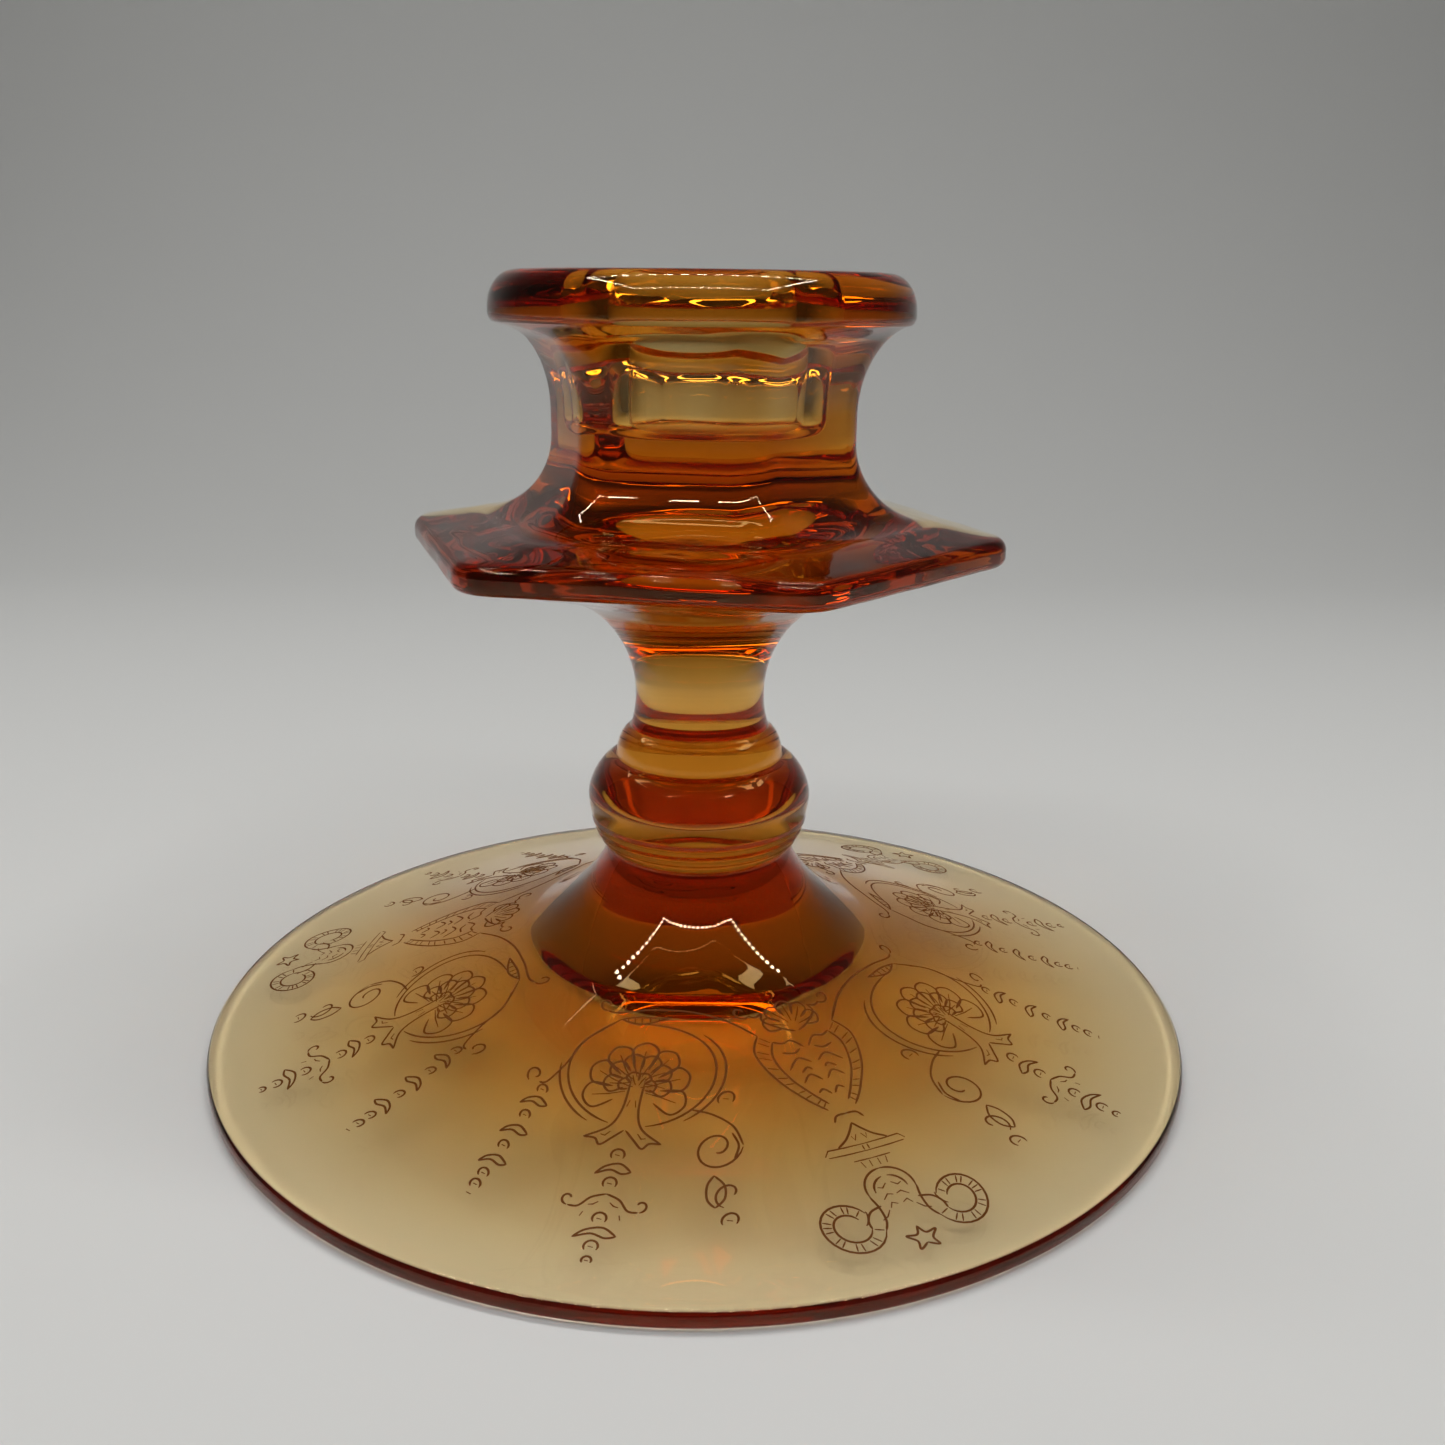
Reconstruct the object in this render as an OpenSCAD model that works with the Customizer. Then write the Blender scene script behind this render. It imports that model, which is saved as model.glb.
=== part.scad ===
// Low candlestick of amber pressed glass.
// A dished round foot rises through a bell and a ringed knop to a waisted stem.
// The stem carries a six-sided drip pan, and above it a six-sided candle socket ends in a round rim.
// The glass is one casting: each node is one named section of it, and neighbours meet on full flat faces.
// Origin: centre of the resting ring, on the table. +Z is up, and a corner of the hexagon points along +X.

/* [Foot] */
// Diameter of the foot
foot_d = 127; // [100:1:160]
// Height of the foot's top face where it meets the bell
foot_rise = 13; // [9:0.1:18]
// Height of the foot's outer edge
foot_edge_h = 2.2; // [1.8:0.1:4]
// Slope of the foot's top face at its outer edge
rim_slope = 0.09; // [0.05:0.01:0.2]
// Slope of the foot's top face at the bell
bell_slope = 0.26; // [0.2:0.01:0.45]
// Height of the shallow hollow under the foot, a cone with a flat ceiling
hollow_rise = 3.9; // [1:0.1:5]
// Diameter of the hollow's flat ceiling
ceiling_d = 37; // [10:1:44]
// Width of the flat ring that rests on the table
rest_w = 0.8; // [0.5:0.1:3]
// Radius of the foot's outer edge, top and bottom
foot_round = 0.8; // [0.3:0.1:0.85]

/* [Bell and knop] */
// Diameter of the bell where it meets the foot
bell_d = 46; // [36:0.5:60]
// Height of the bell
bell_h = 11.5; // [8:0.1:16]
// Diameter of the bell's neck
bell_neck_d = 23.6; // [18:0.1:26]
// Diameter of the knop
knop_d = 28.8; // [27:0.1:36]
// Height of the knop, with the fine rings under it
knop_h = 12; // [9:0.1:16]
// Number of fine rings under the knop
ring_count = 3; // [2:1:4]
// Height of each fine ring
ring_h = 1.4; // [0.8:0.1:2]

/* [Stem] */
// Diameter of the rounded collar where it sits on the knop
collar_d = 21.4; // [19:0.1:26]
// Height of the collar
collar_h = 3.7; // [2:0.1:6]
// Diameter of the stem where it rises from the collar
stem_foot_d = 17.9; // [17:0.1:18.8]
// Diameter of the stem at its waist
waist_d = 16.4; // [12:0.1:16.8]
// Height from the collar to the waist
lower_flare_h = 4.4; // [3:0.1:12]
// Height from the waist to the drip pan
upper_flare_h = 12.9; // [8:0.1:24]
// Diameter of the stem where it meets the drip pan
stem_top_d = 33; // [26:0.5:40]

/* [Drip pan] */
// Width of the drip pan across its corners
pan_w = 74.4; // [62:0.2:95]
// Height of the pan's sloping underside
pan_under_h = 5.1; // [3:0.1:8]
// Height of the pan's edge
pan_edge_h = 3.4; // [2.8:0.1:5]
// Rise of the pan's top face from its edge to the cove
pan_slope_h = 1.2; // [0.5:0.1:4]
// Share of the pan's half width that rounds its corners
pan_roundness = 0.18; // [0.05:0.01:0.3]
// Radius of the pan's top edge
pan_top_round = 1.5; // [0.3:0.1:1.6]
// Radius of the pan's lower edge
pan_low_round = 1.1; // [0.3:0.1:1.2]

/* [Candle socket] */
// Diameter of the candle
candle_d = 22; // [18:0.1:26]
// Gap between the candle and the socket, on each side
candle_gap = 0.2; // [0.1:0.05:0.6]
// Depth of the candle hole
bore_depth = 18.5; // [16:0.5:30]
// Rounding of the hole's mouth
mouth_round = 1.2; // [0.5:0.1:2]
// Thickness of the socket's wall behind its corners
wall_t = 7.6; // [5:0.1:12]
// Share of the socket's half width that rounds its corners
socket_roundness = 0.3; // [0.1:0.01:0.4]
// Reach of the cove between the socket and the pan's top face
cove_w = 10.1; // [6:0.1:11]
// Height of that cove
cove_h = 9.5; // [6:0.1:14]
// Height of the straight part of the socket
socket_straight_h = 3; // [1:0.1:10]

/* [Rim] */
// How far the rim stands out past the socket's corners
rim_reach = 6.4; // [4:0.1:12]
// Height of the cove under the rim
rim_cove_h = 10.6; // [7:0.1:16]
// How far the cove's quarter ellipse would run past the rim
rim_cove_past = 1.1; // [0.5:0.1:2.5]
// Height of the rim's upright edge, between its rounded edges
rim_edge_h = 0.4; // [0.2:0.1:5]
// Radius of the rim's lower edge
rim_low_round = 1.4; // [0.5:0.1:2]
// Width of the rim's rounded top edge
rim_round = 3.3; // [0.8:0.1:4]
// Height of the rim's rounded top edge
rim_round_h = 4.3; // [0.8:0.1:5]

/* [Hidden] */
$fn = 96;
sides = 72;              // points round each six-sided section, a whole number of points to a corner
arc_steps = 8;           // straight steps in a quarter of a rounded outline
foot_turn = 75;          // part of a quarter circle that the foot's top edge takes, in degrees
collar_turn = 70;        // part of a quarter ellipse that the collar's rounded side takes, in degrees
lower_turn = 50;         // part of a quarter ellipse that the stem's lower flare takes, in degrees
upper_turn = 67;         // part of a quarter ellipse that the stem's upper flare takes, in degrees
pan_low_turn = 60;       // how far the pan's lower edge rounds, in degrees
pan_top_turn = 75;       // how far the pan's top edge rounds, in degrees
cove_step = 10;          // step of the cove's sections, in degrees
pan_cut_turn = 60;       // where on the cove the pan ends and the socket starts, in degrees
rim_blend_turn = 52;     // where on the upper cove the six sides start to run out into the round rim
cove_steps = 18;         // sections of the upper cove
rim_low_turn = 50;       // how far the rim's lower edge rounds, in degrees
rim_low_share = 0.5;     // share of that radius by which the cove stops short of the rim
under_power = 0.75;      // how soon the pan's underside levels out
ring_bulge = 0.14;       // how far each fine ring stands out from the knop's side
ring_steps = 6;          // straight steps over the height of one fine ring
knop_wide = 0.57;        // share of the knop's height at which it is widest
knop_power = 1.6;        // fullness of the knop's side: 1 is a straight cone and 2 is an ellipse
bell_low = [0.5, 0.25]; // pull on the bell's foot, as shares of its reach inwards and of its height
bell_top = [0.11, 0.35]; // pull on the bell's neck, as shares of its reach outwards and of its height
cut_over = 1;            // how far a cutting solid runs past the face that it cuts
amber = [0.72, 0.45, 0.12, 0.6];

// Radii
foot_r = foot_d / 2;
under_r = foot_r - foot_round - rest_w;
bell_r = bell_d / 2;
bell_neck_r = bell_neck_d / 2;
knop_r = knop_d / 2;
collar_r = collar_d / 2;
stem_foot_r = stem_foot_d / 2;
waist_r = waist_d / 2;
stem_top_r = stem_top_d / 2;
pan_r = pan_w / 2;
bore_r = candle_d / 2 + candle_gap;
socket_r = bore_r + wall_t;
rim_r = socket_r + rim_reach;

// Heights, each standing on the one before it
bell_z = foot_rise;
knop_z = bell_z + bell_h;
collar_z = knop_z + knop_h;
stem_z = collar_z + collar_h;
waist_z = stem_z + lower_flare_h;
pan_z = waist_z + upper_flare_h;
pan_edge_z = pan_z + pan_under_h;
pan_top_z = pan_edge_z + pan_edge_h;
cove_z = pan_top_z + pan_slope_h;
straight_z = cove_z + cove_h;
rim_cove_z = straight_z + socket_straight_h;
rim_cove_w = rim_reach + rim_cove_past;
rim_cove_turn = acos((rim_cove_past + rim_low_round * rim_low_share) / rim_cove_w);
rim_edge_z = rim_cove_z + rim_cove_h * sin(rim_cove_turn) + rim_low_round * sin(rim_low_turn);
top_z = rim_edge_z + rim_edge_h + rim_round_h;
bore_z = top_z - bore_depth;
pan_cut_z = straight_z - cove_h * sin(pan_cut_turn);
rim_z = rim_cove_z + rim_cove_h * sin(rim_cove_turn);

// The knop's widest place, and where the fine rings below it end
knop_wide_z = knop_z + knop_h * knop_wide;
rings_z = knop_z + ring_count * ring_h;

// Points on part of an ellipse, from angle a0 to angle a1
function bow(c, rx, rz, a0, a1, n = arc_steps) =
    [for (i = [0:n]) let (a = a0 + (a1 - a0) * i / n) [c.x + rx * cos(a), c.y + rz * sin(a)]];

// Points on a smooth curve from p0 to p3 that sets out towards p1 and comes in from p2
function curve(p0, p1, p2, p3, n = arc_steps) =
    [for (i = [0:n]) let (u = i / n, v = 1 - u)
        p0 * v * v * v + p1 * 3 * v * v * u + p2 * 3 * v * u * u + p3 * u * u * u];

// Distance from the axis to a rounded hexagon at angle t.
// apothem is half its width across flats, and roundness 1 makes it a circle.
function hexagon_r(apothem, roundness, t) =
    let (corner = roundness * apothem)
    let (centre = (apothem - corner) / cos(30))
    let (off_corner = abs(t - 60 * round(t / 60)))
    let (off_flat = 30 - off_corner)
    off_flat <= atan(centre * sin(30) / apothem)
        ? apothem / cos(off_flat)
        : centre * cos(off_corner) + sqrt(corner * corner - pow(centre * sin(off_corner), 2));

// Half width across flats of a rounded hexagon, from the radius of its corners
function apothem_of(corner_r, roundness) = corner_r / ((1 - roundness) / cos(30) + roundness);

// One ring of points. A section is [height, corner radius, roundness].
function ring(section) =
    let (apothem = apothem_of(section[1], section[2]))
    [for (i = [0:sides - 1]) let (t = i * 360 / sides) let (r = hexagon_r(apothem, section[2], t))
        [r * cos(t), r * sin(t), section[0]]];

// The two triangles between side i of section s and the section above it
function wall(s, i) =
    let (a = s * sides, b = a + sides, j = (i + 1) % sides)
    [[a + i, b + i, b + j], [a + i, b + j, a + j]];

// A closed solid through sections listed from the bottom up
module loft(sections) {
    last = len(sections) - 1;
    points = [for (s = sections) each ring(s)];
    bottom = [for (i = [0:sides - 1]) i];
    top = [for (i = [sides - 1:-1:0]) last * sides + i];
    walls = [for (s = [0:last - 1]) for (i = [0:sides - 1]) each wall(s, i)];
    polyhedron(points = points, faces = concat([bottom, top], walls), convexity = 4);
}

// The drip pan's sections: sloping underside, upright edge with rounded edges, sloping top and cove
function pan_under(u) =
    [pan_z + pan_under_h * pow(u, under_power),
     stem_top_r + (pan_r - pan_low_round - stem_top_r) * u,
     1 - (1 - pan_roundness) * sqrt(u)];
function pan_edge() = concat(
    bow([pan_r - pan_low_round, pan_edge_z + pan_low_round], pan_low_round, pan_low_round,
        -pan_low_turn, 0, 3),
    bow([pan_r - pan_top_round, pan_top_z - pan_top_round], pan_top_round, pan_top_round,
        0, pan_top_turn, 4));
function cove_section(turn) =
    let (reach = cove_w * (1 - cos(turn)))
    [straight_z - cove_h * sin(turn), socket_r + reach,
     socket_roundness + (pan_roundness - socket_roundness) * reach / (pan_r - socket_r)];
pan_sections = concat(
    [for (i = [0:4]) pan_under(i / 4)],
    [for (p = pan_edge()) [p.y, p.x, pan_roundness]],
    [for (turn = [90:-cove_step:pan_cut_turn]) cove_section(turn)]);

// The socket's sections: the rest of the cove, the straight neck, and the cove that turns round under the rim
function rim_cove_section(turn) =
    let (u = max(0, (turn - rim_blend_turn) / (rim_cove_turn - rim_blend_turn)))
    [rim_cove_z + rim_cove_h * sin(turn), socket_r + rim_cove_w * (1 - cos(turn)),
     socket_roundness + (1 - socket_roundness) * u * u * (3 - 2 * u)];
socket_sections = concat(
    [for (turn = [pan_cut_turn:-cove_step:0]) cove_section(turn)],
    [for (i = [0:cove_steps]) rim_cove_section(rim_cove_turn * i / cove_steps)]);

// The candle hole, shared by every section that it runs into
module candle_hole() {
    translate([0, 0, bore_z]) cylinder(h = bore_depth + cut_over, r = bore_r);
}

module foot() {
    edge = bow([foot_r - foot_round, foot_edge_h - foot_round], foot_round, foot_round, 0, foot_turn);
    third = (edge[arc_steps].x - bell_r) / 3;
    color(amber) rotate_extrude() polygon(concat(
        [[0, foot_rise], [0, hollow_rise], [ceiling_d / 2, hollow_rise], [under_r, 0]],
        bow([foot_r - foot_round, foot_round], foot_round, foot_round, -90, 0),
        edge,
        curve(edge[arc_steps], edge[arc_steps] + third * [-1, rim_slope],
            [bell_r + third, foot_rise - third * bell_slope], [bell_r, foot_rise])));
}

module bell() {
    reach = bell_r - bell_neck_r;
    color(amber) rotate_extrude() polygon(concat(
        [[0, bell_z]],
        curve([bell_r, bell_z], [bell_r - reach * bell_low.x, bell_z + bell_h * bell_low.y],
            [bell_neck_r + reach * bell_top.x, knop_z - bell_h * bell_top.y], [bell_neck_r, knop_z],
            2 * arc_steps),
        [[0, knop_z]]));
}

// Radius of the knop's side at height z, between its widest place and an end of radius r0 at height z0
function knop_side(r0, z0, z) =
    let (off = abs((z - knop_wide_z) / (z0 - knop_wide_z)))
    r0 + (knop_r - r0) * pow(max(0, 1 - pow(off, knop_power)), 1 / knop_power);

module knop() {
    ring_places = [for (i = [0:ring_count * ring_steps]) knop_z + i * ring_h / ring_steps];
    side_places = [for (i = [1:arc_steps]) rings_z + (knop_wide_z - rings_z) * i / arc_steps];
    top_places = [for (i = [1:2 * arc_steps])
        knop_wide_z + (collar_z - knop_wide_z) * sin(90 * i / (2 * arc_steps))];
    color(amber) rotate_extrude() polygon(concat(
        [[0, knop_z]],
        [for (z = ring_places)
            [knop_side(bell_neck_r, knop_z, z) + ring_bulge * abs(sin(180 * (z - knop_z) / ring_h)), z]],
        [for (z = side_places) [knop_side(bell_neck_r, knop_z, z), z]],
        [for (z = top_places) [knop_side(collar_r, collar_z, z), z]],
        [[0, collar_z]]));
}

module stem_collar() {
    side_rx = (collar_r - stem_foot_r) / (1 - cos(collar_turn));
    side_rz = collar_h / sin(collar_turn);
    color(amber) rotate_extrude() polygon(concat(
        [[0, collar_z]],
        bow([collar_r - side_rx, collar_z], side_rx, side_rz, 0, collar_turn),
        [[0, stem_z]]));
}

module stem() {
    lower_rx = (stem_foot_r - waist_r) / (1 - cos(lower_turn));
    upper_rx = (stem_top_r - waist_r) / (1 - cos(upper_turn));
    color(amber) rotate_extrude() polygon(concat(
        [[0, stem_z]],
        bow([waist_r + lower_rx, waist_z], lower_rx, lower_flare_h / sin(lower_turn), 180 + lower_turn, 180),
        bow([waist_r + upper_rx, waist_z], upper_rx, upper_flare_h / sin(upper_turn), 175, 180 - upper_turn,
            2 * arc_steps),
        [[0, pan_z]]));
}

module drip_pan() {
    color(amber) difference() {
        loft(pan_sections);
        candle_hole();
    }
}

module candle_socket() {
    color(amber) difference() {
        loft(socket_sections);
        candle_hole();
    }
}

module socket_rim() {
    mouth_r = bore_r + mouth_round;
    color(amber) rotate_extrude() polygon(concat(
        [[bore_r, rim_z], [socket_r + rim_cove_w * (1 - cos(rim_cove_turn)), rim_z]],
        bow([rim_r - rim_low_round, rim_edge_z], rim_low_round, rim_low_round, -rim_low_turn, 0),
        bow([rim_r - rim_round, top_z - rim_round_h], rim_round, rim_round_h, 0, 90, 2 * arc_steps),
        bow([mouth_r, top_z - mouth_round], mouth_round, mouth_round, 90, 180)));
}

foot();
bell();
knop();
stem_collar();
stem();
drip_pan();
candle_socket();
socket_rim();
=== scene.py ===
"""Low amber glass candlestick: one clear casting with an etched foot, on a pale sweep."""

import math

import bpy
import numpy as np
from mathutils import Matrix, Vector, noise


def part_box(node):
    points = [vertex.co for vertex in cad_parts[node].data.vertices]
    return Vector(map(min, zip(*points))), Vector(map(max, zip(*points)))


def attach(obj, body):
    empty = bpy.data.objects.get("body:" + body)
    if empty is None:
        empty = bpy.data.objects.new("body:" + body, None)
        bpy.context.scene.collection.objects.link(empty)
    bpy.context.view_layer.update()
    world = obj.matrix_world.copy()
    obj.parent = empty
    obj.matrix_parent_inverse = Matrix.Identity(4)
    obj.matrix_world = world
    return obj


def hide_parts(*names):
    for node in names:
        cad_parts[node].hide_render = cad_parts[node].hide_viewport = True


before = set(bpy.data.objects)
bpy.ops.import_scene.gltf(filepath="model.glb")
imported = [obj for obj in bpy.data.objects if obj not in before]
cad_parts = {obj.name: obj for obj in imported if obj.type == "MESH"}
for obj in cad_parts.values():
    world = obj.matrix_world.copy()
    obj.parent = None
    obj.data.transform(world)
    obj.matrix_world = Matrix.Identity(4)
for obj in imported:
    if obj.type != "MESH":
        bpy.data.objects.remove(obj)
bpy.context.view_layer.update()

MM = 0.001
VIEW_TURN = math.radians(11)  # turn of the camera, the sweep and the lamps about the candlestick

# ---------------------------------------------------------------- sizes, in millimetres
# Sizes that the nodes' boxes give
def high(node):
    """The highest corner of a CAD node's box, in millimetres."""
    return [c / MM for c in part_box(node)[1]]


FOOT_R, _, BELL_Z = high("foot")
BELL_R, _, KNOP_Z = high("bell")
KNOP_R, _, COLLAR_Z = high("knop")
COLLAR_R, _, STEM_Z = high("stem_collar")
STEM_TOP_R, _, PAN_Z = high("stem")
PAN_R, _, _ = high("drip_pan")
RIM_R, _, TOP_Z = high("socket_rim")

# Sizes inside those boxes, the same as in the CAD source
FOOT_EDGE_H = 2.2
FOOT_ROUND = 0.8
REST_W = 0.8
HOLLOW_RISE = 3.9
CEILING_R = 18.5
RIM_SLOPE = 0.09
BELL_SLOPE = 0.26
BELL_NECK_R = 11.8
RING_COUNT = 3
RING_H = 1.4
RING_BULGE = 0.14
KNOP_WIDE = 0.57
KNOP_POWER = 1.6
COLLAR_TURN = 70
STEM_FOOT_R = 8.95
WAIST_R = 8.2
LOWER_FLARE_H = 4.4
LOWER_TURN = 50
UPPER_TURN = 67
PAN_UNDER_H = 5.1
UNDER_POWER = 0.75
PAN_EDGE_H = 3.4
PAN_SLOPE_H = 1.2
PAN_ROUNDNESS = 0.18
PAN_TOP_ROUND = 1.5
PAN_LOW_ROUND = 1.1
SOCKET_R = 18.8
SOCKET_ROUNDNESS = 0.3
COVE_W = 10.1
COVE_H = 9.5
SOCKET_STRAIGHT_H = 3
RIM_COVE_H = 10.6
RIM_COVE_PAST = 1.1
RIM_BLEND_TURN = 52
RIM_LOW_ROUND = 1.4
RIM_LOW_TURN = 50
RIM_ROUND = 3.3
RIM_ROUND_H = 4.3
BORE_R = 11.2
BORE_DEPTH = 18.5
MOUTH_ROUND = 1.2
FLOOR_ROUND = 2.0

SEGMENTS = 240  # points round each ring of the glass
AXIS_GAP = 0.4  # radius of the innermost ring, which a fan of triangles closes

# Height of the glass's ripples, at these heights on it, and how many there are to a metre
RIPPLE_Z = (0, 20, 24, 57, 60, 67, 75, 88, 91)
RIPPLE = (0.006, 0.006, 0.012, 0.015, 0.07, 0.07, 0.04, 0.03, 0.004)
RIPPLE_SCALE = 160
RIPPLE_SEED = 1  # a fixed seed, because the noise otherwise follows the clock


# ---------------------------------------------------------------- camera
def make_camera():
    """Looks down at the front of the candlestick, as a phone held just above it does."""
    camera = bpy.data.cameras.new("camera")
    camera.sensor_width = 36
    camera.lens = 34.65
    camera.clip_start = 0.005
    eye = bpy.data.objects.new("camera", camera)
    bpy.context.collection.objects.link(eye)
    side, back, height = 2.951 * MM, 171.47 * MM, 93.24 * MM
    pitch, roll = 0.29864, 0.012
    eye.matrix_world = (
        Matrix.Rotation(VIEW_TURN, 4, "Z")
        @ Matrix.Translation((side, -back, height))
        @ Matrix.Rotation(math.pi / 2 - pitch, 4, "X")
        @ Matrix.Rotation(roll, 4, "Z")
    )
    bpy.context.scene.camera = eye


# ---------------------------------------------------------------- outline of the glass
def bow(cx, cz, rx, rz, a0, a1, n=8):
    """Points on part of an ellipse, from angle a0 to angle a1 in degrees."""
    turns = [math.radians(a0 + (a1 - a0) * i / n) for i in range(n + 1)]
    return [(cx + rx * math.cos(a), cz + rz * math.sin(a)) for a in turns]


def curve(p0, p1, p2, p3, n=16):
    """Points on a smooth curve from p0 to p3 that sets out towards p1 and comes in from p2."""
    points = []
    for i in range(n + 1):
        u = i / n
        v = 1 - u
        w = (v**3, 3 * v * v * u, 3 * v * u * u, u**3)
        points.append(tuple(sum(k * p[axis] for k, p in zip(w, (p0, p1, p2, p3))) for axis in (0, 1)))
    return points


def line(p0, p1, n):
    """Points along a straight line, without its first."""
    return [(p0[0] + (p1[0] - p0[0]) * i / n, p0[1] + (p1[1] - p0[1]) * i / n) for i in range(1, n + 1)]


def hexagon_radius(apothem, roundness, turn):
    """Distance from the axis to a rounded hexagon. Roundness 1 makes it a circle."""
    corner = roundness * apothem
    centre = (apothem - corner) / math.cos(math.pi / 6)
    off_corner = abs(turn - math.pi / 3 * round(turn / (math.pi / 3)))
    off_flat = math.pi / 6 - off_corner
    if off_flat <= math.atan(centre * 0.5 / apothem):
        return apothem / math.cos(off_flat)
    return centre * math.cos(off_corner) + math.sqrt(corner**2 - (centre * math.sin(off_corner)) ** 2)


def ring(radius, z, roundness):
    """One ring of points round the axis, where radius is at the corners."""
    apothem = radius / ((1 - roundness) / math.cos(math.pi / 6) + roundness)
    points = []
    for i in range(SEGMENTS):
        turn = i * 2 * math.pi / SEGMENTS
        r = hexagon_radius(apothem, roundness, turn)
        points.append((r * math.cos(turn) * MM, r * math.sin(turn) * MM, z * MM))
    return points


def round_rings(points):
    """Sections of a round stretch."""
    return [(r, z, 1.0) for r, z in points]


def foot_outline():
    """From the middle of the hollow, round the resting ring and up the sloping top to the bell."""
    under_r = FOOT_R - FOOT_ROUND - REST_W
    points = [(AXIS_GAP, HOLLOW_RISE)] + line((AXIS_GAP, HOLLOW_RISE), (CEILING_R, HOLLOW_RISE), 6)
    points += line(points[-1], (under_r, 0.0), 30)
    points += line(points[-1], (FOOT_R - FOOT_ROUND, 0.0), 3)
    points += bow(FOOT_R - FOOT_ROUND, FOOT_ROUND, FOOT_ROUND, FOOT_ROUND, -90, 0, 8)[1:]
    points += line(points[-1], (FOOT_R, FOOT_EDGE_H - FOOT_ROUND), 2)
    return points + foot_top()[1:]


def foot_top():
    """The foot's top face alone, from its outermost edge up to the bell."""
    points = bow(FOOT_R - FOOT_ROUND, FOOT_EDGE_H - FOOT_ROUND, FOOT_ROUND, FOOT_ROUND, 0, 75, 8)
    rim_r, rim_z = points[-1]
    third = (rim_r - BELL_R) / 3
    points += curve((rim_r, rim_z), (rim_r - third, rim_z + third * RIM_SLOPE),
                    (BELL_R + third, BELL_Z - third * BELL_SLOPE), (BELL_R, BELL_Z), 30)[1:]
    return points


def bell_outline():
    """The bell, from the foot up to the knop."""
    reach, rise = BELL_R - BELL_NECK_R, KNOP_Z - BELL_Z
    return curve((BELL_R, BELL_Z), (BELL_R - reach * 0.5, BELL_Z + rise * 0.25),
                 (BELL_NECK_R + reach * 0.11, KNOP_Z - rise * 0.35), (BELL_NECK_R, KNOP_Z), 24)[1:]


def knop_side(r0, z0, wide_z, z):
    """Radius of the knop at height z, between its widest place and an end of radius r0 at height z0."""
    off = abs((z - wide_z) / (z0 - wide_z))
    return r0 + (KNOP_R - r0) * max(0.0, 1 - off**KNOP_POWER) ** (1 / KNOP_POWER)


def knop_outline():
    """Fine rings, then the knop's full round side."""
    wide_z, rings_z = KNOP_Z + (COLLAR_Z - KNOP_Z) * KNOP_WIDE, KNOP_Z + RING_COUNT * RING_H
    points = []
    for z in np.linspace(KNOP_Z, rings_z, RING_COUNT * 10 + 1)[1:]:
        bulge = RING_BULGE * abs(math.sin(math.pi * (z - KNOP_Z) / RING_H))
        points.append((knop_side(BELL_NECK_R, KNOP_Z, wide_z, z) + bulge, z))
    points += [(knop_side(BELL_NECK_R, KNOP_Z, wide_z, z), z) for z in np.linspace(rings_z, wide_z, 12)[1:]]
    for turn in np.linspace(0, math.pi / 2, 24)[1:]:
        z = wide_z + (COLLAR_Z - wide_z) * math.sin(turn)
        points.append((knop_side(COLLAR_R, COLLAR_Z, wide_z, z), z))
    return points


def stem_outline():
    """The collar's rounded side and the waisted stem."""
    side_rx = (COLLAR_R - STEM_FOOT_R) / (1 - math.cos(math.radians(COLLAR_TURN)))
    side_rz = (STEM_Z - COLLAR_Z) / math.sin(math.radians(COLLAR_TURN))
    points = bow(COLLAR_R - side_rx, COLLAR_Z, side_rx, side_rz, 0, COLLAR_TURN, 12)[1:]
    waist_z = STEM_Z + LOWER_FLARE_H
    rx = (STEM_FOOT_R - WAIST_R) / (1 - math.cos(math.radians(LOWER_TURN)))
    rz = LOWER_FLARE_H / math.sin(math.radians(LOWER_TURN))
    points += bow(WAIST_R + rx, waist_z, rx, rz, 180 + LOWER_TURN, 180, 12)[1:]
    rx = (STEM_TOP_R - WAIST_R) / (1 - math.cos(math.radians(UPPER_TURN)))
    rz = (PAN_Z - waist_z) / math.sin(math.radians(UPPER_TURN))
    points += bow(WAIST_R + rx, waist_z, rx, rz, 180, 180 - UPPER_TURN, 26)[1:-1]
    return points


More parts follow.
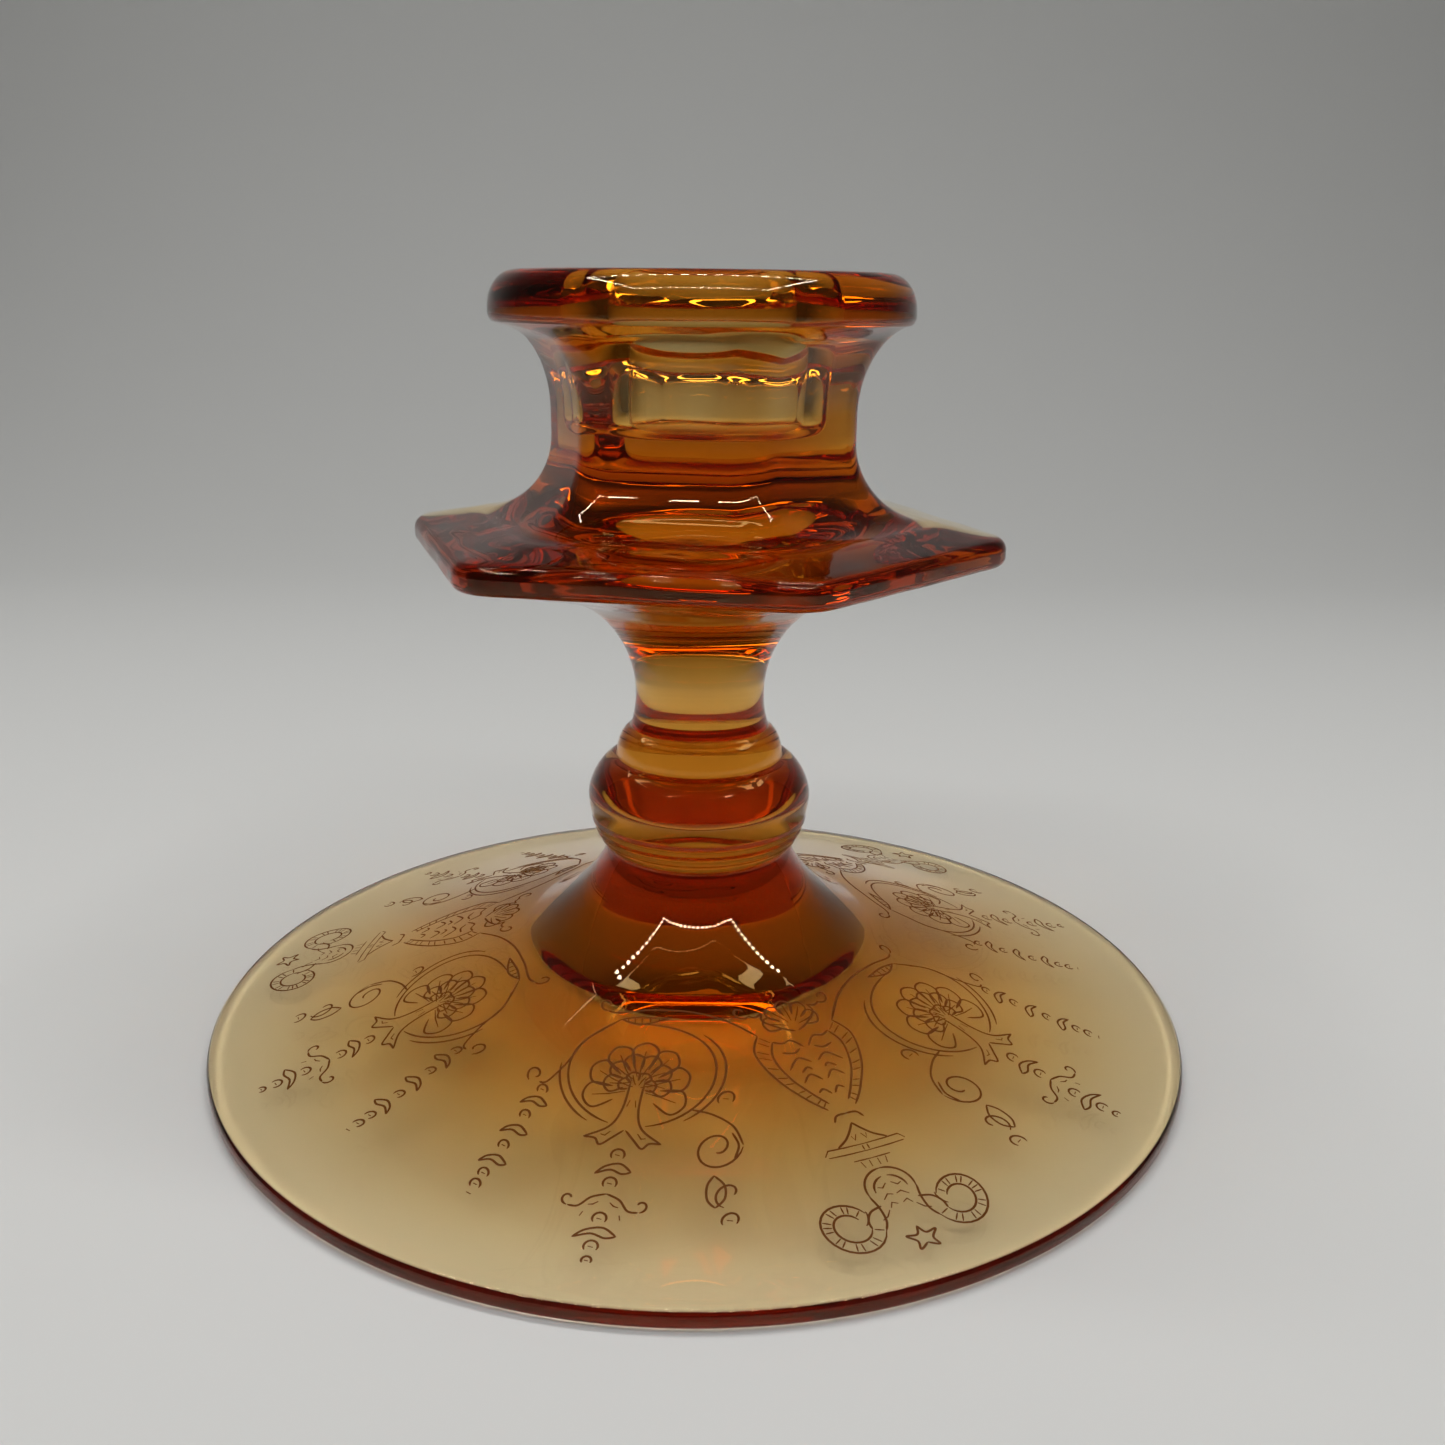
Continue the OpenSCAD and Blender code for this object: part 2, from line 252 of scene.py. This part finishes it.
def pan_and_socket_rings():
    """Sections of the six-sided drip pan and socket, up to where the cove under the rim turns round."""
    edge_z, top_z = PAN_Z + PAN_UNDER_H, PAN_Z + PAN_UNDER_H + PAN_EDGE_H
    cove_z = top_z + PAN_SLOPE_H
    straight_z = cove_z + COVE_H
    rim_cove_z = straight_z + SOCKET_STRAIGHT_H
    low_r, high_r = PAN_R - PAN_LOW_ROUND, PAN_R - PAN_TOP_ROUND
    rings = []
    for i in range(17):
        u = i / 16
        rings.append((STEM_TOP_R + (low_r - STEM_TOP_R) * u, PAN_Z + PAN_UNDER_H * u**UNDER_POWER,
                      1 - (1 - PAN_ROUNDNESS) * math.sqrt(u)))
    edge = bow(low_r, edge_z + PAN_LOW_ROUND, PAN_LOW_ROUND, PAN_LOW_ROUND, -60, 0, 6)
    edge += line(edge[-1], (PAN_R, top_z - PAN_TOP_ROUND), 3)
    edge += bow(high_r, top_z - PAN_TOP_ROUND, PAN_TOP_ROUND, PAN_TOP_ROUND, 0, 75, 8)[1:]
    edge += line(edge[-1], (SOCKET_R + COVE_W, cove_z), 6)[:-1]
    rings += [(r, z, PAN_ROUNDNESS) for r, z in edge]
    for r, z in bow(SOCKET_R + COVE_W, straight_z, COVE_W, COVE_H, 270, 180, 24):
        share = (r - SOCKET_R) / (PAN_R - SOCKET_R)
        rings.append((r, z, SOCKET_ROUNDNESS + (PAN_ROUNDNESS - SOCKET_ROUNDNESS) * share))
    cove_w = RIM_R + RIM_COVE_PAST - SOCKET_R
    end_turn = math.degrees(math.acos((RIM_COVE_PAST + RIM_LOW_ROUND / 2) / cove_w))
    for i in range(1, 41):
        turn = math.radians(end_turn * i / 40)
        u = max(0.0, (end_turn * i / 40 - RIM_BLEND_TURN) / (end_turn - RIM_BLEND_TURN))
        rings.append((SOCKET_R + cove_w * (1 - math.cos(turn)), rim_cove_z + RIM_COVE_H * math.sin(turn),
                      SOCKET_ROUNDNESS + (1 - SOCKET_ROUNDNESS) * u * u * (3 - 2 * u)))
    edge_z = rings[-1][1] + RIM_LOW_ROUND * math.sin(math.radians(RIM_LOW_TURN))
    rings += round_rings(bow(RIM_R - RIM_LOW_ROUND, edge_z, RIM_LOW_ROUND, RIM_LOW_ROUND, -RIM_LOW_TURN, 0, 8))
    return rings


def rim_and_bore_outline():
    """Over the rim's rounded top edge and down the candle hole to the middle of its floor."""
    floor_z = TOP_Z - BORE_DEPTH
    mouth_r = BORE_R + MOUTH_ROUND
    points = bow(RIM_R - RIM_ROUND, TOP_Z - RIM_ROUND_H, RIM_ROUND, RIM_ROUND_H, 0, 90, 20)
    points += line(points[-1], (mouth_r, TOP_Z), 5)
    points += bow(mouth_r, TOP_Z - MOUTH_ROUND, MOUTH_ROUND, MOUTH_ROUND, 90, 180, 10)[1:]
    points += line(points[-1], (BORE_R, floor_z + FLOOR_ROUND), 10)
    points += bow(BORE_R - FLOOR_ROUND, floor_z + FLOOR_ROUND, FLOOR_ROUND, FLOOR_ROUND, 0, -90, 8)[1:]
    points += line(points[-1], (AXIS_GAP, floor_z), 5)
    return points


def ripple(point):
    """A point moved by the slight unevenness of pressed glass, which is greatest on the drip pan."""
    strength = float(np.interp(point[2] / MM, RIPPLE_Z, RIPPLE)) * MM
    return tuple(Vector(point) + noise.noise_vector(Vector(point) * RIPPLE_SCALE) * strength)


def make_glass():
    """The whole casting as one closed mesh, so that light bends only where the real glass has a surface."""
    noise.seed_set(RIPPLE_SEED)
    sections = round_rings(foot_outline() + bell_outline() + knop_outline() + stem_outline())
    sections += pan_and_socket_rings() + round_rings(rim_and_bore_outline())
    points = [ripple(p) for s in sections for p in ring(*s)]
    points += [(0, 0, sections[0][1] * MM), (0, 0, sections[-1][1] * MM)]
    faces = []
    for s in range(len(sections) - 1):
        for i in range(SEGMENTS):
            j = (i + 1) % SEGMENTS
            a, b = s * SEGMENTS, (s + 1) * SEGMENTS
            faces.append((a + i, a + j, b + j, b + i))
    last = (len(sections) - 1) * SEGMENTS
    for i in range(SEGMENTS):
        j = (i + 1) % SEGMENTS
        faces.append((len(points) - 2, j, i))
        faces.append((len(points) - 1, last + i, last + j))
    mesh = bpy.data.meshes.new("glass_body")
    mesh.from_pydata(points, [], faces)
    mesh.polygons.foreach_set("use_smooth", [True] * len(mesh.polygons))
    mesh.update()
    body = bpy.data.objects.new("glass_body", mesh)
    bpy.context.collection.objects.link(body)
    body.data.materials.append(amber_glass())
    return body


# ---------------------------------------------------------------- etched pattern
# A stroke is a list of (across, out) points: millimetres along the foot from its motif's centre line,
# and millimetres out from the axis. The pattern is three urns, each between two mirrored medallions.
URN_TURN = -54.7       # turn of the first urn, in degrees
MEDALLION_TURN = 34    # turn from an urn to the medallion on each side of it, in degrees
REPEATS = 3
STROKE_W = 0.27        # width of an etched line
STROKE_H = 0.05        # height of its crest
STROKE_LIFT = 0.015    # gap between the glass and the line, so that the two faces don't coincide


def spline(points, n=7):
    """A smooth stroke through a few points."""
    ends = [points[0], *points, points[-1]]
    stroke = [points[0]]
    for p0, p1, p2, p3 in zip(ends, ends[1:], ends[2:], ends[3:]):
        for i in range(1, n + 1):
            u = i / n
            stroke.append(tuple(
                0.5 * (2 * b + (c - a) * u + (2 * a - 5 * b + 4 * c - d) * u**2
                       + (3 * b - a - 3 * c + d) * u**3)
                for a, b, c, d in zip(p0, p1, p2, p3)))
    return stroke


def swirl(cx, cy, r0, r1, a0, a1):
    """Part of a spiral round a centre, from radius r0 to r1 and from angle a0 to a1 in degrees."""
    n = max(6, int(abs(a1 - a0) / 14))
    stroke = []
    for i in range(n + 1):
        r, a = r0 + (r1 - r0) * i / n, math.radians(a0 + (a1 - a0) * i / n)
        stroke.append((cx + r * math.cos(a), cy + r * math.sin(a)))
    return stroke


def mirrored(strokes):
    """The strokes and their mirror images about the centre line."""
    return strokes + [[(-x, y) for x, y in stroke] for stroke in strokes]


def bead(x, y, r=0.72):
    """A bead of a string: an open ring with a dash in it."""
    return [swirl(x, y, r, r, 150, 400), [(x - 0.35 * r, y + 0.1 * r), (x + 0.4 * r, y)]]


def small_leaf(x, y, w=1.9, h=0.75):
    """A leaf that lies across its string."""
    return [
        spline([(x - w, y + 0.2 * h), (x - 0.3 * w, y - h), (x + 0.5 * w, y - 0.4 * h), (x + w, y + h)]),
        spline([(x + w, y + h), (x + 0.2 * w, y + 0.1 * h), (x - 0.5 * w, y + 0.6 * h), (x - w, y + 0.2 * h)]),
    ]


def hatch(inner, outer, count):
    """Short ticks between two strokes."""
    ticks = []
    for i in range(count):
        u = (i + 0.5) / count
        a, b = inner[int(u * (len(inner) - 1))], outer[int(u * (len(outer) - 1))]
        ticks.append([tuple(p + (q - p) * k for p, q in zip(a, b)) for k in (0.15, 0.5, 0.85)])
    return ticks


def fan_point(x, y, reach, plump, turn):
    """The point at a turn and reach from the root of a fan that is plump times as long as it is wide."""
    return x + reach * math.cos(turn), y + reach * plump * math.sin(turn)


def palmette(x, y, reach, lobes, spread, plump):
    """A fan of round-ended leaves that opens towards the axis, each with a rib."""
    strokes = []
    for i in range(lobes):
        middle = math.radians(-90 + spread * (i / (lobes - 1) - 0.5))
        half = math.radians(spread / (lobes - 1) / 2)
        leaf = [(0.45, -1), (0.86, -0.95), (1.0, 0), (0.86, 0.95), (0.45, 1)]
        rib = [(0.2, 0), (0.5, 0.1), (0.82, 0)]
        strokes.append(spline([fan_point(x, y, reach * k, plump, middle + half * t) for k, t in leaf]))
        strokes.append([fan_point(x, y, reach * k, plump, middle + half * t) for k, t in rib])
    return strokes


def medallion():
    """A tree in a vine ring, with strings of beads and leaves. Across is positive away from the urn."""
    ring_in = bow(0, 34.4, 8.5, 7.0, 104, 275, 30)
    ring_out = bow(-0.4, 34.4, 9.2, 7.4, 128, 232, 20)
    strokes = [ring_in, ring_out, bow(0, 34.4, 8.5, 7.0, 76, -48, 24), bow(0.5, 34.6, 9.0, 7.5, 64, 2, 14)]
    strokes += palmette(0, 36.6, 6.0, 7, 210, 1.08) + palmette(0, 35.6, 3.9, 6, 200, 1.0)
    strokes += palmette(0, 36.4, 2.2, 4, 150, 1.0)
    root = [spline([(0.8, 35.6), (0.9, 39.2), (1.8, 41.6), (4.3, 43.3)]),
            spline([(4.3, 43.3), (3.0, 43.3), (2.3, 44.0), (1.2, 43.0), (0.1, 41.9)]),
            [(0.3, 38.0), (0.5, 38.9)], [(1.5, 42.2), (2.0, 42.8), (2.5, 42.7)]]
    strokes += mirrored(root)
    # Vine from its end curl, over the ring, to a hatched leaf
    leaf_top = spline([(4.0, 27.2), (1.6, 26.4), (-1.6, 26.2)])
    leaf_low = spline([(4.0, 27.2), (1.4, 27.5), (-1.6, 26.2)])
    strokes += [spline([(11.4, 38.0), (10.4, 37.6), (8.8, 34.6), (7.4, 31.0), (4.0, 27.2)]),
                swirl(12.2, 37.2, 1.1, 0.35, 60, -250), leaf_top, leaf_low]
    strokes += hatch(leaf_top, leaf_low, 7)
    # Vine from its upper curl to the urn
    strokes += [spline([(5.9, 26.3), (4.6, 26.3), (1.0, 25.2), (-3.5, 25.0), (-8.0, 26.4), (-12.4, 29.2)]),
                swirl(6.3, 25.4, 0.95, 0.35, 110, -190)]
    # Two scrolls on the urn's side
    strokes += [spline([(-6.6, 38.8), (-9.0, 39.4), (-11.6, 41.0), (-13.1, 43.4)]),
                swirl(-10.3, 43.6, 2.8, 0.6, 180, -270),
                spline([(-11.6, 41.8), (-12.6, 43.4), (-12.4, 45.0)]),
                spline([(-10.6, 47.0), (-11.9, 48.2), (-12.2, 49.8), (-11.4, 50.9)]),
                swirl(-12.6, 49.2, 1.7, 0.5, 80, -200),
                spline([(-10.6, 47.0), (-10.1, 48.2), (-10.4, 49.9), (-11.4, 50.9)])]
    strokes += bead(-10.2, 37.4, 0.9) + bead(-13.2, 52.4, 0.85)
    # String below the tree
    for y in (45.0, 48.5, 52.8, 56.2):
        strokes += bead(0, y)
    strokes += bead(0, 57.9, 0.5) + small_leaf(0, 46.8) + small_leaf(0, 54.6, 2.2)
    strokes += mirrored([spline([(0, 49.8), (1.5, 50.4), (2.6, 51.6), (3.7, 51.7)]),
                         swirl(3.8, 50.9, 0.8, 0.3, 90, -160),
                         [(0.6, 50.8), (1.1, 51.2), (1.6, 51.3)], [(1.9, 52.2), (2.1, 52.8)]])
    # String on the far side
    for out in (38.8, 42.4, 46.6, 50.4, 51.9):
        strokes += bead(0.275 * out, out, 0.62)
    for out in (40.5, 44.5, 48.6):
        strokes += small_leaf(0.275 * out, out, 1.7, 0.65)
    strokes.append([(14.3, 53.2), (14.9, 53.1)])
    return strokes


def urn():
    """A leafy urn on a saucer, over a pair of snail scrolls. Drawn as its right half and mirrored."""
    side = spline([(4.9, 29.2), (6.3, 31.8), (5.5, 35.4), (3.5, 38.6), (1.7, 40.6)])
    band = spline([(3.6, 30.4), (4.5, 32.6), (3.9, 35.6), (2.4, 38.2), (1.2, 39.8)])
    half = [side, band] + hatch(side, band, 11)
    half += [spline([(0.3, 31.8), (1.4, 30.6), (2.6, 30.8), (3.6, 30.4)]),
             spline([(0.4, 34.0), (1.8, 33.2), (3.4, 34.6)]),
             spline([(0.3, 36.6), (1.4, 35.6), (2.6, 36.6)]), spline([(0.2, 38.6), (0.9, 37.8), (1.6, 38.2)]),
             spline([(0.9, 31.9), (1.9, 32.4), (3.2, 32.1)]), spline([(0.8, 35.0), (1.3, 34.6), (2.2, 35.2)])]
    half += [swirl(5.4, 25.5, 1.0, 0.4, 150, -170), spline([(4.7, 26.1), (3.9, 26.4), (3.0, 26.0)]),
             spline([(0.2, 29.4), (1.7, 28.6), (3.3, 27.2), (3.0, 26.0)])]
    half += [spline([(0, 41.4), (1.2, 41.5), (1.8, 42.3)]),
             spline([(0, 42.7), (0.7, 43.6), (1.7, 44.6), (3.0, 45.4)]),
             [(0.3, 44.2), (0.7, 44.9), (0.9, 44.3)], [(0, 45.5), (2.4, 45.5), (4.3, 45.5), (4.9, 46.2)],
             [(0, 46.4), (2.6, 46.4), (4.6, 46.4)], [(0, 47.4), (1.2, 47.4), (2.2, 47.4)],
             [(1.5, 47.6), (1.3, 48.4)], [(0.5, 47.6), (0.5, 48.4)]]
    half += hatch([(0.3, 45.5), (4.2, 45.5)], [(0.3, 46.4), (4.2, 46.4)], 2)
    snail_out = swirl(6.5, 54.9, 3.5, 2.6, 160, -150)
    snail_in = swirl(6.5, 54.9, 2.1, 1.4, 160, -150)
    half += [bow(0, 51.4, 2.8, 2.6, 270, 372, 14), snail_out, snail_in, swirl(6.2, 54.6, 2.4, 1.4, -150, -200)]
    half += hatch(snail_out, snail_in, 15) + [bow(0, 51.6, 1.9, 1.8, 280, 360, 8)]
    half += [spline([(2.8, 51.9), (2.5, 53.4), (2.6, 55.0), (3.2, 56.1)]),
             spline([(2.2, 53.2), (3.6, 53.6), (4.4, 54.6), (4.5, 55.6)])]
    half += [[(0.3, 50.7), (0.9, 51.2), (1.4, 51.0)], [(0.2, 52.2), (0.8, 52.0), (1.5, 52.6)],
             [(0.3, 53.4), (0.9, 53.1), (1.3, 53.7)], [(1.6, 53.9), (2.2, 54.6), (2.9, 54.9)]]
    half += [spline([(0, 56.5), (0.5, 57.5), (1.7, 57.4), (0.9, 58.3), (1.1, 59.3), (0, 58.7)])]
    return mirrored(half) + palmette(0, 28.6, 3.6, 5, 150, 1.1)


def etch(name, motif, turns):
    """One piece: a thin raised ribbon along each stroke, a hair above the foot. A turn is (degrees, side)."""
    top = np.array(foot_top()[::-1])
    points, faces = [], []
    for centre, side in turns:
        for stroke in motif:
            across, out = np.array(stroke).T
            angle = math.radians(centre) + side * across / out
            height = np.interp(out, top[:, 0], top[:, 1])
            track = np.stack([out * np.cos(angle), out * np.sin(angle), height], 1)
            fall = np.interp(out + 0.5, top[:, 0], top[:, 1]) - np.interp(out - 0.5, top[:, 0], top[:, 1])
            normal = np.stack([-fall * np.cos(angle), -fall * np.sin(angle), np.ones_like(out)], 1)
            normal /= np.linalg.norm(normal, axis=1)[:, None]
            along = np.gradient(track, axis=0)
            along /= np.linalg.norm(along, axis=1)[:, None]
            across_way = np.cross(along, normal)
            n = len(track)
            taper = np.minimum(1, 0.45 + np.minimum(np.arange(n), n - 1 - np.arange(n)) * 0.25)[:, None]
            base = track + normal * STROKE_LIFT
            start = len(points)
            half_w = across_way * STROKE_W / 2 * taper
            for left, right, crest in zip(base - half_w, base + half_w, base + normal * STROKE_H * taper):
                points += [tuple(left * MM), tuple(crest * MM), tuple(right * MM)]
            for i in range(n - 1):
                a = start + 3 * i
                faces += [(a, a + 1, a + 4, a + 3), (a + 1, a + 2, a + 5, a + 4), (a + 2, a, a + 3, a + 5)]
            faces += [(start, start + 2, start + 1), (start + 3 * n - 3, start + 3 * n - 2, start + 3 * n - 1)]
    mesh = bpy.data.meshes.new(name)
    mesh.from_pydata(points, [], faces)
    mesh.update()
    piece = bpy.data.objects.new(name, mesh)
    bpy.context.collection.objects.link(piece)
    piece.data.materials.append(etched_line())
    return piece


def make_etching():
    """The three repeats of the pattern, as two pieces."""
    urns = [URN_TURN + i * 360 / REPEATS for i in range(REPEATS)]
    pairs = [(turn + side * MEDALLION_TURN, side) for turn in urns for side in (1, -1)]
    return [etch("etched_urns", urn(), [(turn, 1) for turn in urns]),
            etch("etched_medallions", medallion(), pairs)]


# ---------------------------------------------------------------- materials
def new_material(name):
    """A node material and its Principled shader."""
    material = bpy.data.materials.new(name)
    material.use_nodes = True
    return material, material.node_tree, material.node_tree.nodes["Principled BSDF"]


def amber_glass():
    """Clear glass that takes blue light away over its depth: pale where thin, dark amber where thick."""
    material, tree, shader = new_material("amber_glass")
    shader.inputs["Base Color"].default_value = (1.0, 0.985, 0.96, 1)
    shader.inputs["Roughness"].default_value = 0.0
    shader.inputs["IOR"].default_value = 1.5
    shader.inputs["Transmission Weight"].default_value = 1.0
    shader.inputs["Specular Tint"].default_value = (1.0, 0.8, 0.5, 1)
    absorb = tree.nodes.new("ShaderNodeVolumeAbsorption")
    absorb.inputs["Color"].default_value = (0.912, 0.656, 0.0, 1)
    absorb.inputs["Density"].default_value = 160.0
    tree.links.new(absorb.outputs["Volume"], tree.nodes["Material Output"].inputs["Volume"])
    return material


def etched_line():
    """The dark, rough line that etching leaves on the glass."""
    if "etched_line" in bpy.data.materials:
        return bpy.data.materials["etched_line"]
    material, tree, shader = new_material("etched_line")
    grain = tree.nodes.new("ShaderNodeTexNoise")
    grain.inputs["Scale"].default_value = 900
    shade = tree.nodes.new("ShaderNodeValToRGB")
    shade.color_ramp.elements[0].color = (0.085, 0.024, 0.006, 1)
    shade.color_ramp.elements[1].color = (0.19, 0.070, 0.018, 1)
    tree.links.new(grain.outputs["Fac"], shade.inputs["Fac"])
    tree.links.new(shade.outputs["Color"], shader.inputs["Base Color"])
    shader.inputs["Roughness"].default_value = 0.6
    shader.inputs["Specular IOR Level"].default_value = 0.1
    return material


def paper():
    """Matt pale card of the floor and backdrop."""
    material, _, shader = new_material("pale_card")
    shader.inputs["Base Color"].default_value = (0.72, 0.72, 0.70, 1)
    shader.inputs["Roughness"].default_value = 0.9
    shader.inputs["Specular IOR Level"].default_value = 0.1
    return material


# ---------------------------------------------------------------- stage and light
def make_stage():
    """A floor that curves up into a backdrop, facing the camera. It lies 0.1 mm under the foot."""
    profile = [(-1.2, 0.0), (0.30, 0.0)]
    turns = np.linspace(0.05, math.pi / 2, 14)
    profile += [(0.30 + 0.35 * math.sin(a), 0.35 - 0.35 * math.cos(a)) for a in turns]
    profile += [(0.65, 1.5)]
    points = [(x, y, z) for x in (-1.5, 1.5) for y, z in profile]
    n = len(profile)
    mesh = bpy.data.meshes.new("sweep")
    mesh.from_pydata(points, [], [(i, i + n, i + n + 1, i + 1) for i in range(n - 1)])
    mesh.polygons.foreach_set("use_smooth", [True] * len(mesh.polygons))
    sweep = bpy.data.objects.new("sweep", mesh)
    sweep.matrix_world = Matrix.Translation((0, 0, -0.0001)) @ Matrix.Rotation(VIEW_TURN, 4, "Z")
    bpy.context.collection.objects.link(sweep)
    sweep.data.materials.append(paper())


def area_light(name, place, target, size, size_y, power):
    """A soft rectangular lamp at place that faces target."""
    lamp = bpy.data.lights.new(name, "AREA")
    lamp.shape = "RECTANGLE"
    lamp.size, lamp.size_y, lamp.energy = size, size_y, power
    holder = bpy.data.objects.new(name, lamp)
    place = Matrix.Rotation(VIEW_TURN, 4, "Z") @ Vector(place)
    target = Matrix.Rotation(VIEW_TURN, 4, "Z") @ Vector(target)
    holder.location = place
    holder.rotation_euler = (target - place).to_track_quat("-Z", "Y").to_euler()
    bpy.context.collection.objects.link(holder)
    return holder


# The loop of small lamps that the glass mirrors, in metres
LAMP_COUNT = 60
LAMP_SIZE = 0.012
LAMP_POWER = 0.025
LAMP_HALF_W = 0.22
LAMP_HALF_D = 0.15
LAMP_Y = -0.10
LAMP_Z = 0.42

# The soft strips that light the scene: name, x, y, width and depth in metres
STRIPS = (("front", 0, -0.34, 0.74, 0.07), ("back", 0, 0.10, 0.74, 0.07),
          ("left", -0.335, -0.12, 0.07, 0.37), ("right", 0.335, -0.12, 0.07, 0.37))
STRIP_Z = 0.55
STRIP_POWER = 25.5  # watts for each square metre of strip


def rectangle_point(share, half_w, half_d):
    """A point on a rectangle's outline, share of the way round from its first corner."""
    corners = [(-half_w, -half_d), (half_w, -half_d), (half_w, half_d), (-half_w, half_d), (-half_w, -half_d)]
    walk = share * 4 * (half_w + half_d)
    for (x0, y0), (x1, y1) in zip(corners, corners[1:]):
        length = abs(x1 - x0) + abs(y1 - y0)
        if walk <= length:
            return x0 + (x1 - x0) * walk / length, y0 + (y1 - y0) * walk / length
        walk -= length


def make_light():
    """Four soft strips overhead, a loop of small lamps for the glints, and a dim even room."""
    for name, x, y, size, size_y in STRIPS:
        power = STRIP_POWER * size * size_y
        strip = area_light(f"strip_{name}", (x, y, STRIP_Z), (x, y, 0), size, size_y, power)
        strip.visible_glossy = False
    for i in range(LAMP_COUNT):
        x, y = rectangle_point(i / LAMP_COUNT, LAMP_HALF_W, LAMP_HALF_D)
        y += LAMP_Y
        lamp = area_light(f"lamp_{i}", (x, y, LAMP_Z), (x, y, 0), LAMP_SIZE, LAMP_SIZE, LAMP_POWER)
        lamp.visible_diffuse = False
        lamp.visible_transmission = False
    world = bpy.data.worlds.new("room")
    bpy.context.scene.world = world
    world.use_nodes = True
    world.node_tree.nodes["Background"].inputs["Color"].default_value = (0.045, 0.045, 0.044, 1)
    world.node_tree.nodes["Background"].inputs["Strength"].default_value = 1.0


make_camera()
make_stage()
make_light()
scene = bpy.context.scene
scene.view_settings.view_transform = "Standard"
scene.cycles.max_bounces = 24
scene.cycles.transmission_bounces = 24
scene.cycles.glossy_bounces = 16
scene.cycles.blur_glossy = 0.0

glass = make_glass()
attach(glass, "root")
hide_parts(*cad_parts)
etching = make_etching()
for piece in etching:
    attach(piece, "root")
